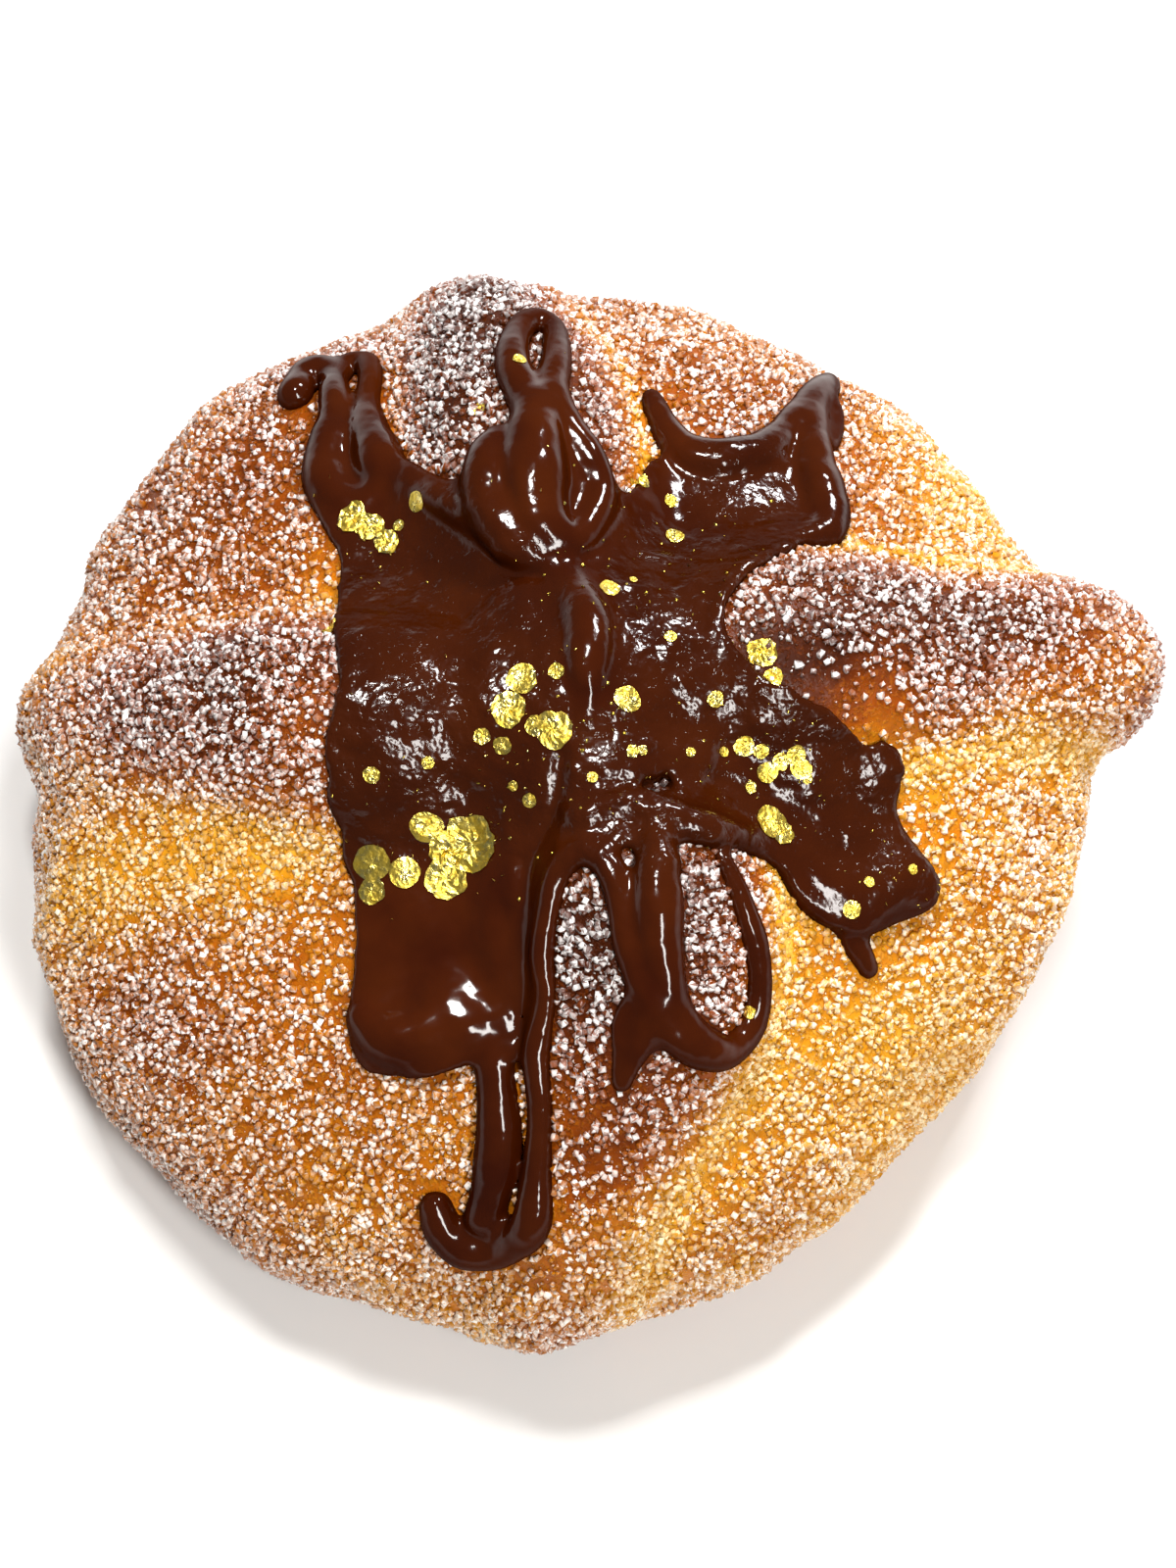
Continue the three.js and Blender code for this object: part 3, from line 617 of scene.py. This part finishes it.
def makeLoaf():
    cells = loaf["meshCells"]
    side = np.linspace(-1, 1, cells + 1)
    a, b = np.meshgrid(side, side, indexing="ij")
    larger = np.maximum(np.abs(a), np.abs(b))
    wide = np.abs(a) > np.abs(b)
    share = np.where(wide, b / np.where(a == 0, 1, a), a / np.where(b == 0, 1, b))
    bearing = np.where(wide, share * np.pi / 4 + np.where(a < 0, np.pi, 0),
                       np.pi / 2 - share * np.pi / 4 + np.where(b < 0, np.pi, 0))
    bearing, larger = bearing.ravel(), larger.ravel()
    direction = directionAt(bearing, larger * rimTilt(bearing))
    u, v = toMap(direction)
    reach = readMap(crust["reach"], u, v)
    points = direction * reach[:, None]
    crease = readMap(crust["crease"], u, v)
    proud = readMap(crust["proud"], u, v)
    inside = larger < 0.999
    puckers = 1 + loaf["creasePucker"] * np.exp(-crease / 2)
    relief = loaf["wrinkle"] * puckers * noiseSum(points, loaf["wrinkleSizes"])
    points += direction * (relief * inside)[:, None] + middle
    points[~inside, 2] = 0
    cover = readMap(crust["cover"], u, v)

    brown = bake["base"] + bake["onBones"] * smooth(*bake["boneHeights"], proud)
    brown += sum(more * fade(u, v, spot, radius) for *spot, radius, more in bake["patches"])
    brown += noiseSum(points, bake["blotches"])
    pale = bake["inCreases"] * (0.15 + 0.85 * smooth(-5, 14, u))  # the creases are paler on the right
    brown -= pale * np.exp(-crease / bake["creaseWidth"])
    brown += bake["atFoot"] * smooth(*bake["footHeights"], points[:, 2])

    patchy = sugar["cover"] + noiseSum(points, sugar["drifts"])
    for *spot, radius, share in sugar["bare"]:
        patchy *= 1 - share * fade(u, v, spot, radius)
    patchy += sugar["inCreases"] * np.exp(-crease / 1.5)
    patchy += sugar["atLeft"] * smooth(-20, -40, u) * smooth(15, -5, v)
    windows = np.exp(-((v + 27) / 10) ** 4) * smooth(-6, -4, u) * smooth(21, 19, u)  # between the strands
    patchy += sugar["inWindows"] * windows
    coat = np.clip(patchy, sugar["least"], 1) * smooth(-0.2, 0.5, cover)
    coat *= smooth(*sugar["footHeights"], points[:, 2])

    index = np.arange((cells + 1) ** 2).reshape(cells + 1, cells + 1)
    faces = np.stack([index[:-1, :-1], index[1:, :-1], index[1:, 1:], index[:-1, 1:]], -1).reshape(-1, 4)
    rim = np.concatenate([index[:-1, 0], index[-1, :-1], index[:0:-1, -1], index[0, :0:-1]])
    centre = len(points)
    points = np.vstack([points, [[0, 0, 0]]])
    base = np.stack([np.roll(rim, -1), rim, np.full(len(rim), centre)], 1)
    attributes = {"bake": np.append(brown, bake["base"]), "coat": np.append(coat, 0)}
    piece = makePiece("loafCrust", points, [faces, base], attributes)
    print("loaf", len(points), "points", 2 * len(faces) + len(base), "triangles")
    return piece


# sugar: five kinds of grain, each strewn over the crust by the same tree
sugar = {
    "cover": 0.76, "least": 0.06, "inCreases": 0.3, "atLeft": 0.28, "inWindows": 0.4, "footHeights": (1.5, 12),
    "drifts": [(0.3, 9, 45), (0.2, 3.5, 46)],
    # thinner patches: u, v, radius, how much is missing
    "bare": [(-31, 19, 7, 0.6), (-33, -28, 6, 0.35), (48, 4, 6, -0.5), (20, 4, 4, 0.85), (24, 1, 4.5, 0.9),
             (29, -1, 4.5, 0.95), (34, -2.5, 4, 0.9), (31, 1.5, 4.5, 0.7), (37.5, -1.5, 3.5, 0.6),
             (10, 40, 4, 0.4), (0, -50, 6, 0.35), (27, -30, 9, 0.4), (40, -12, 7, 0.3), (-27, -3, 5, 0.35),
             (-40, -8, 8, 0.2), (12, -50, 5, 0.3), (60, 12, 8, 0.2)],
    # each kind: corners, density for each square mm, closest spacing, least and greatest size, seed, finish
    "kinds": {
        "clearGrains": (11, 0.95, 0.45, 0.55, 1.0, 3, "clearSugar"),
        "milkyGrains": (11, 0.9, 0.45, 0.52, 0.98, 8, "milkySugar"),
        "blockGrains": (8, 1.0, 0.35, 0.44, 0.84, 31, "milkySugar"),
        "smallGrains": (8, 1.4, 0.25, 0.3, 0.56, 14, "clearSugar"),
        "sugarDust": (6, 1.3, 0.1, 0.14, 0.34, 21, "milkySugar"),
    },
    "block": (0.5, 0.42, 0.36),  # half the sides of a grain of size 1
    "lift": 0.16,
}


def grainShape(name, corners, seed):
    # a blunt crystal: the hull of a few points drawn on a slightly squashed block
    draw = np.random.default_rng(seed)
    body = bmesh.new()
    for k in range(corners):
        side = draw.normal(size=3)
        spot = side / np.abs(side).max() * draw.uniform(0.86, 1, 3)
        if k < 8:  # the block's own corners come first
            spot = np.array([(-1) ** k, (-1) ** (k // 2), (-1) ** (k // 4)]) * draw.uniform(0.7, 0.95, 3)
        body.verts.new(spot * sugar["block"] * mm)
    bmesh.ops.convex_hull(body, input=body.verts)
    bmesh.ops.delete(body, geom=[vert for vert in body.verts if not vert.link_faces], context="VERTS")
    bmesh.ops.recalc_face_normals(body, faces=body.faces)
    mesh = bpy.data.meshes.new(name)
    body.to_mesh(mesh)
    body.free()
    facets = mesh.attributes.new("facet", "FLOAT", "FACE")
    facets.data.foreach_set("value", draw.uniform(0, 1, len(mesh.polygons)).astype(np.float32))
    return bpy.data.objects.new(name, mesh)


def strewTree(name):
    # strews turned and scaled copies of one grain over a surface, more where its coat attribute is high
    group = bpy.data.node_groups.new(name, "GeometryNodeTree")
    face = group.interface
    face.new_socket("Surface", in_out="INPUT", socket_type="NodeSocketGeometry")
    face.new_socket("Grain", in_out="INPUT", socket_type="NodeSocketObject")
    for label in ("Density", "Gap", "Small", "Large", "Lift"):
        face.new_socket(label, in_out="INPUT", socket_type="NodeSocketFloat")
    face.new_socket("Seed", in_out="INPUT", socket_type="NodeSocketInt")
    face.new_socket("Mask", in_out="INPUT", socket_type="NodeSocketString")
    face.new_socket("Finish", in_out="INPUT", socket_type="NodeSocketMaterial")
    face.new_socket("Grains", in_out="OUTPUT", socket_type="NodeSocketGeometry")
    tree = Tree(group)
    given = tree.node("NodeGroupInput")
    seed = given.part("Seed")
    coat = tree.node("GeometryNodeInputNamedAttribute", {"data_type": "FLOAT"}, {"Name": given.part("Mask")})
    spots = tree.node("GeometryNodeDistributePointsOnFaces", {"distribute_method": "POISSON"},
                      {"Mesh": given.part("Surface"), "Distance Min": given.part("Gap"),
                       "Density Max": given.part("Density"), "Density Factor": coat, "Seed": seed})
    lifted = tree.node("GeometryNodeSetPosition", None, {
        "Geometry": spots, "Offset": tree.node("ShaderNodeVectorMath", {"operation": "SCALE"}, {
            0: spots.part("Normal"), "Scale": given.part("Lift")})})
    turned = tree.node("FunctionNodeRandomValue", {"data_type": "FLOAT_VECTOR"},
                       {0: (0, 0, 0), 1: (6.283, 6.283, 6.283), "Seed": seed})
    scaled = tree.node("FunctionNodeRandomValue", {"data_type": "FLOAT"},
                       {2: given.part("Small"), 3: given.part("Large"), "Seed": seed + 1})
    tone = tree.node("FunctionNodeRandomValue", {"data_type": "FLOAT"}, {2: 0.0, 3: 1.0, "Seed": seed + 2})
    toned = tree.node("GeometryNodeStoreNamedAttribute", None, {
        "Geometry": lifted, "Name": "tone", "Value": tone})
    copies = tree.node("GeometryNodeInstanceOnPoints", None, {
        "Points": toned, "Instance": tree.node("GeometryNodeObjectInfo", None, {
            "Object": given.part("Grain")}).part("Geometry"),
        "Rotation": tree.node("FunctionNodeEulerToRotation", None, {"Euler": turned}), "Scale": scaled})
    real = tree.node("GeometryNodeRealizeInstances", None, {"Geometry": copies})
    dressed = tree.node("GeometryNodeSetMaterial", None, {"Geometry": real, "Material": given.part("Finish")})
    tree.node("NodeGroupOutput", None, {"Grains": dressed})
    return group


def applyModifiers(piece):
    bpy.context.view_layer.update()
    mesh = bpy.data.meshes.new_from_object(piece.evaluated_get(bpy.context.evaluated_depsgraph_get()))
    piece.modifiers.clear()
    piece.data = mesh


def strew(name, surface, tree, values, finish):
    # runs the tree on a surface and keeps what it makes as a plain mesh of its own
    carrier = bpy.data.objects.new(name, surface.data)
    bpy.context.scene.collection.objects.link(carrier)
    modifier = carrier.modifiers.new("strew", "NODES")
    modifier.node_group = tree
    sockets = {item.name: item.identifier for item in tree.interface.items_tree if item.in_out == "INPUT"}
    for label, value in values.items():
        modifier[sockets[label]] = value
    modifier[sockets["Finish"]] = finish
    applyModifiers(carrier)
    mesh = carrier.data
    mesh.name = name
    for unused in ("coat", "thin", "flecks", "steep"):
        if unused in mesh.attributes:
            mesh.attributes.remove(mesh.attributes[unused])
    mesh.polygons.foreach_set("use_smooth", np.ones(len(mesh.polygons), bool))
    print(name, sum(len(face.vertices) - 2 for face in mesh.polygons), "triangles")
    return carrier


def makeSugar(surface):
    tree = strewTree("strewGrains")
    grains = []
    for name, (corners, density, gap, small, large, seed, finish) in sugar["kinds"].items():
        shape = grainShape(name + "Shape", corners, seed)
        grains.append(strew(name, surface, tree, {
            "Grain": shape, "Density": density / mm**2, "Gap": gap * mm, "Small": small, "Large": large,
            "Lift": sugar["lift"] * mm * large, "Seed": seed, "Mask": "coat"}, finishes[finish]))
        bpy.data.objects.remove(shape)
    return grains


# gold leaf: round flakes laid on the chocolate, crumpled ones, and flecks
gold = {
    # flakes: u, v, radius, how crumpled
    "flakes": [
        (-7.5, 0, 1.5, 1), (-9, -3.5, 1.7, 2), (-4, -6, 1.8, 1.5), (-6, -5.5, 1, 1), (-10, -7.5, 0.9, 1),
        (-18.5, -9, 0.6, 1), (-24, -10, 0.8, 1), (-20, -16.5, 1.6, 1), (-15, -19, 2.7, 3),
        (-18, -19.6, 1.7, 3), (-18, -23, 2, 1.5), (-26.5, -20, 1.8, 0.6), (-23, -21.7, 1.5, 0.6),
        (-26.7, -23.3, 1.3, 1), (-3.5, 0.5, 0.8, 1), (4.5, -2.5, 1.3, 1), (23, -15.5, 1.6, 2),
        (24.5, -16.7, 1.1, 2), (19.5, -6.5, 1, 1), (21.5, -7, 0.7, 1), (25.5, -7, 0.9, 1), (24, -8, 0.8, 1),
        (26.2, -8.7, 1, 1), (22.5, -9.5, 1, 1), (20.5, -11.5, 0.6, 1), (15, -1.5, 0.8, 1),
        (9.5, 5.5, 0.6, 1), (11.5, 24, 0.9, 1), (11, 29.5, 0.7, 1), (6.5, 30.5, 0.9, 2),
        (-20.5, 25.5, 1, 1), (-28.5, 25, 1.5, 3), (-26.8, 24, 1.5, 3), (-25.3, 22, 1.3, 3),
        (-23.5, 24, 0.6, 1), (-7, 36.2, 0.7, 1), (-7, -14, 0.7, 1), (5, -8.5, 0.6, 1), (6.2, -8.3, 0.5, 1),
        (2.5, 12, 1, 1), (18, -35.5, 0.6, 1), (32, -24.5, 0.9, 1), (27, -9.8, 0.5, 1), (17, -7.4, 0.5, 1),
        (12.3, -8, 0.5, 1), (28, 17, 0.5, 1), (5.5, 14, 0.4, 1), (-29, 8, 0.9, 2), (-12, 33.5, 0.7, 2),
        (20, 4.4, 1.4, 3), (21.5, 1.5, 0.9, 2), (-12.3, -6.3, 0.8, 1), (-9, -12.2, 0.5, 1),
        (0.5, -11.5, 0.5, 1), (34, -21, 0.5, 1), (38.3, -18.6, 0.5, 1),
    ],
    # patches of tiny flecks: u, v, radius
    "fleckPatches": [(22, -9, 7), (-5, -9, 8), (10, 18, 10), (37, -19, 5), (5, -8, 7), (-18, -16, 8),
                     (-26, 18, 6)],
    "lift": 0.07, "crinkle": 0.035, "rings": 5, "sides": 22, "thickness": 0.03,
    "wobble": 0.04, "ragged": 0.05, "jagged": 0.03,  # of a flake's edge: always, and more as it is crumpled
    "fleckDensity": 0.32, "fleckSmall": 0.16, "fleckLarge": 0.5,
}


def meshParts(pieces):
    points, faces = [], []
    for piece in pieces:
        start = len(points)
        points += [vertex.co.copy() for vertex in piece.data.vertices]
        faces += [[start + k for k in face.vertices] for face in piece.data.polygons]
    return points, faces


def makeFlakes(surfaces):
    ground = BVHTree.FromPolygons(*meshParts(surfaces))
    draw = np.random.default_rng(77)
    points, faces = [], []
    for u, v, radius, crumple in gold["flakes"]:
        out = fromMap(np.array(u), np.array(v))
        hit, normal, _, _ = ground.ray_cast(Vector((middle + out * 80) * mm), Vector(-out))  # from well outside
        normal = (normal + Vector(out)).normalized()
        east = normal.orthogonal().normalized()
        north = normal.cross(east)
        start = len(points)
        sides = gold["sides"]
        around = np.stack([np.arange(sides), np.full(sides, start), np.zeros(sides)], 1)
        wobble = 1 + (gold["wobble"] + gold["ragged"] * crumple) * softNoise(around, 2.2, 9)
        wobble = wobble + gold["jagged"] * crumple * draw.uniform(-1, 1, sides)
        for ring in range(gold["rings"] + 1):
            for side in range(sides if ring else 1):
                turn = 2 * math.pi * side / sides
                away = radius * mm * ring / gold["rings"] * (wobble[side] if ring else 1)
                spot = hit + east * (away * math.cos(turn)) + north * (away * math.sin(turn))
                under, _, _, _ = ground.ray_cast(spot + normal * (2.5 * mm), -normal)
                spot = under if under and (under - spot).length < 1.2 * mm else spot  # not into a hole
                rise = gold["lift"] + gold["crinkle"] * crumple * (1 + draw.uniform(-1, 1))
                points.append(np.array(spot + normal * (rise * mm)) / mm)
        for side in range(sides):
            beside = (side + 1) % sides
            faces.append((start, start + 1 + side, start + 1 + beside))
            for ring in range(gold["rings"] - 1):
                inner, outer = start + 1 + ring * sides, start + 1 + (ring + 1) * sides
                faces.append((inner + side, outer + side, outer + beside))
                faces.append((inner + side, outer + beside, inner + beside))
    piece = makePiece("goldFlakes", np.array(points), [np.array(faces)])
    thick = piece.modifiers.new("thickness", "SOLIDIFY")
    thick.thickness = gold["thickness"] * mm
    thick.offset = -1
    applyModifiers(piece)
    piece.data.polygons.foreach_set("use_smooth", np.zeros(len(piece.data.polygons), bool))
    print("gold flakes", len(piece.data.polygons), "faces")
    return piece


def makeFlecks(surface, tree):
    corners = [(0.5, 0, 0), (0.15, 0.45, 0.03), (-0.45, 0.3, 0), (-0.4, -0.35, 0.04), (0.2, -0.5, 0),
               (0, 0, 0.09)]
    sides = np.array([(0, 1, 5), (1, 2, 5), (2, 3, 5), (3, 4, 5), (4, 0, 5)])
    shape = makePiece("fleckShape", corners, [sides, np.array([(4, 3, 2, 1, 0)])])
    piece = strew("goldFlecks", surface, tree, {
        "Grain": shape, "Density": gold["fleckDensity"] / mm**2, "Gap": 0.3 * mm, "Small": gold["fleckSmall"],
        "Large": gold["fleckLarge"], "Lift": 0.03 * mm, "Seed": 5, "Mask": "flecks"}, finishes["goldLeaf"])
    bpy.data.objects.remove(shape)
    return piece


# finishes
def bakedColour(tree, brown):
    # from pale gold through orange to the darkest crust
    return tree.ramp(brown, (0.0, (0.86, 0.56, 0.14)), (0.2, (0.74, 0.34, 0.014)),
                     (0.42, (0.50, 0.155, 0.004)), (0.62, (0.28, 0.056, 0.002)),
                     (0.82, (0.095, 0.016, 0.0015)), (1.0, (0.04, 0.007, 0.001)))


def paintCrust(tree, place):
    brown = tree.attribute("bake") + (tree.noise(place, 0.35, 6) - 0.5) * 0.3
    pores = tree.band(tree.noise(place, 1.6, 3), 0.60, 0.72)
    colour = tree.mixColours(pores * 0.35, bakedColour(tree, brown), (0.12, 0.03, 0.004, 1))
    melted = tree.band(tree.noise(place, 2.4, 3), 0.5, 0.62)
    colour = tree.mixColours(melted * 0.25, colour, bakedColour(tree, brown - 0.25))
    height = tree.noise(place, 0.9, 5) - pores * 0.5 + melted * 0.6
    return {"Base Color": colour, "Roughness": tree.band(tree.noise(place, 0.5), 0.3, 0.7, 0.26, 0.42),
            "Normal": tree.bump(height, 0.16, 0.8)}


def paintChocolate(tree, place):
    thin = tree.attribute("thin")
    streaks = tree.noise(place, 0.12, 3)
    colour = tree.ramp(streaks, (0.3, (0.026, 0.0032, 0.0003)), (0.7, (0.048, 0.0080, 0.0007)))
    colour = tree.mixColours(thin * 0.4, colour, (0.026, 0.0050, 0.0008, 1))
    pits = tree.band(tree.noise(place, 1.5, 2), 0.32, 0.42)
    height = tree.noise(place, 0.25, 2) * 1.8 + (tree.noise(place, 0.6, 2) * 1.4 + pits * 0.12) * thin
    return {"Base Color": colour, "Roughness": thin * 0.04 + 0.1, "Normal": tree.bump(height, 0.3, 0.6),
            "Dull": tree.attribute("steep") * 0.9}


def paintSugar(clearest, whitest, low, high):
    # a grain's colour mixes the sugar's own white with the colour of the crust under it, more white on some
    # facets than on others: painted see-through colour and painted glints on the whiter facets
    def paint(tree, place):
        brown = tree.attribute("bake")
        # the white is yellower over paler crust: painted see-through colour
        white = tree.ramp(brown, (0.2, (1.0, 0.87, 0.54)), (0.45, (1.0, 0.96, 0.88)), (0.7, (0.99, 0.97, 0.95)))
        # random facets decide how much white shows: painted glints
        share = tree.band(tree.attribute("facet"), low, high, clearest, whitest)
        share = share * (tree.attribute("tone") * 0.5 + 0.5)
        under = brown.sum("MAXIMUM", brown - 0.15, 0.2)
        return {"Base Color": tree.mixColours(share, bakedColour(tree, under), white)}
    return paint


def paintGold(tree, place):
    tone = tree.noise(place, 1.1, 5)
    colour = tree.ramp(tone, (0.3, (0.62, 0.42, 0.04)), (0.55, (0.92, 0.70, 0.13)),
                       (0.75, (1.0, 0.90, 0.38)))
    return {"Base Color": colour, "Roughness": tree.band(tone, 0.3, 0.7, 0.42, 0.22),
            "Normal": tree.bump(tree.noise(place, 2.2, 4), 0.1, 0.9)}


finishes = {
    "crust": newMaterial("bakedCrust", paintCrust, {"Specular IOR Level": 0.12}),
    "chocolate": newMaterial("meltedChocolate", paintChocolate, {"IOR": 1.36}),
    "clearSugar": newMaterial("clearSugar", paintSugar(0.0, 0.8, 0.45, 0.75), {
        "Roughness": 0.05, "IOR": 1.5, "Transmission Weight": 0.2}),
    "milkySugar": newMaterial("milkySugar", paintSugar(0.15, 1.0, 0.3, 0.7), {"Roughness": 0.2, "IOR": 1.5}),
    "goldLeaf": newMaterial("goldLeaf", paintGold, {"Metallic": 1.0}),
}


def setStage():
    # a pale floor, three soft lamps and the camera, which looks down as in the picture
    floor = {"size": 3000, "drop": 0.15, "colour": (0.86, 0.86, 0.85), "paler": (0.88, 0.88, 0.87),
             "fade": (0.25, 0.9), "glow": 0.8}  # the fade is in metres from the middle
    view = {"elevation": 72, "distance": 420, "focalPixels": 4116, "target": (0, 0, 16), "raised": 1.5306}
    lamps = {
        # name: bearing, elevation, distance, width, depth, watts, colour
        "window": (60, 42, 600, 120, 90, 2.9, (0.98, 0.98, 1.0)),
        "above": (110, 76, 600, 100, 70, 2.7, (1.0, 0.99, 0.97)),
        "front": (300, 58, 600, 80, 260, 2.5, (1.0, 0.98, 0.95)),
    }
    half = floor["size"] / 2
    corners = [(x, y, -floor["drop"]) for x, y in ((-half, -half), (half, -half), (half, half), (-half, half))]
    ground = makePiece("floor", corners, [np.array([(0, 1, 2, 3)])])
    ground.data.materials.append(newMaterial("paleFloor", lambda tree, place: {
        "Base Color": tree.ramp(tree.noise(place, 0.004, 2), (0.3, floor["colour"]), (0.7, floor["paler"])),
        # the far floor glows, because the lamps only reach the near one
        "Emission Color": tree.band(tree.node("ShaderNodeVectorMath", {"operation": "LENGTH"}, {0: place}),
                                    *floor["fade"], 0.0, floor["glow"])},
        {"Roughness": 0.7, "Emission Strength": 1.0}))
    for name, (bearing, elevation, away, width, depth, watts, colour) in lamps.items():
        light = bpy.data.lights.new(name, "AREA")
        light.shape = "RECTANGLE"
        light.size, light.size_y = width * mm, depth * mm
        light.energy, light.color = watts, colour
        lamp = bpy.data.objects.new(name, light)
        place = Vector(directionAt(np.array(rad(bearing)), np.array(rad(90 - elevation)))) * away * mm
        lamp.matrix_world = Matrix.Translation(place) @ place.to_track_quat("Z", "Y").to_matrix().to_4x4()
        bpy.context.scene.collection.objects.link(lamp)
    world = bpy.data.worlds.new("studio")
    world.use_nodes = True
    sky = Tree(world.node_tree)
    height = sky.node("ShaderNodeSeparateXYZ", None, {
        "Vector": sky.node("ShaderNodeTexCoord").part("Generated")}).part("Z")
    shade = sky.ramp(height, (0.02, (0.8, 0.8, 0.79)), (0.14, (0.12, 0.117, 0.112)))
    world.node_tree.links.new(shade.socket, world.node_tree.nodes["Background"].inputs["Color"])
    bpy.context.scene.world = world
    bpy.context.scene.view_settings.view_transform = "Standard"

    lens = bpy.data.cameras.new("camera")
    lens.sensor_width = 36
    lens.lens = 36 * view["focalPixels"] / 1600
    camera = bpy.data.objects.new("camera", lens)
    tilt = rad(90 - view["elevation"])
    away = Vector((0, -math.sin(tilt), math.cos(tilt)))
    up = Vector((0, math.cos(tilt), math.sin(tilt)))
    place = (Vector(view["target"]) + away * view["distance"] + up * view["raised"]) * mm
    camera.matrix_world = Matrix.Translation(place) @ Matrix.Rotation(tilt, 4, "X")
    bpy.context.scene.collection.objects.link(camera)
    bpy.context.scene.camera = camera


mapChocolate()
print("making the pieces")
loafCrust = makeLoaf()
loafCrust.data.materials.append(finishes["crust"])
drape = makeChocolate()
drape.data.materials.append(finishes["chocolate"])
grains = makeSugar(loafCrust)
flakes = makeFlakes([drape, loafCrust])
flakes.data.materials.append(finishes["goldLeaf"])
flecks = makeFlecks(drape, bpy.data.node_groups["strewGrains"])
setStage()

for piece, slot in [(loafCrust, "crust"), (drape, "chocolate"), (flakes, "gold_leaf"), (flecks, "gold_leaf"),
                    *((piece, "sugar") for piece in grains)]:
    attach(piece, "root")
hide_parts("bread")
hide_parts("chocolate")

print("done")
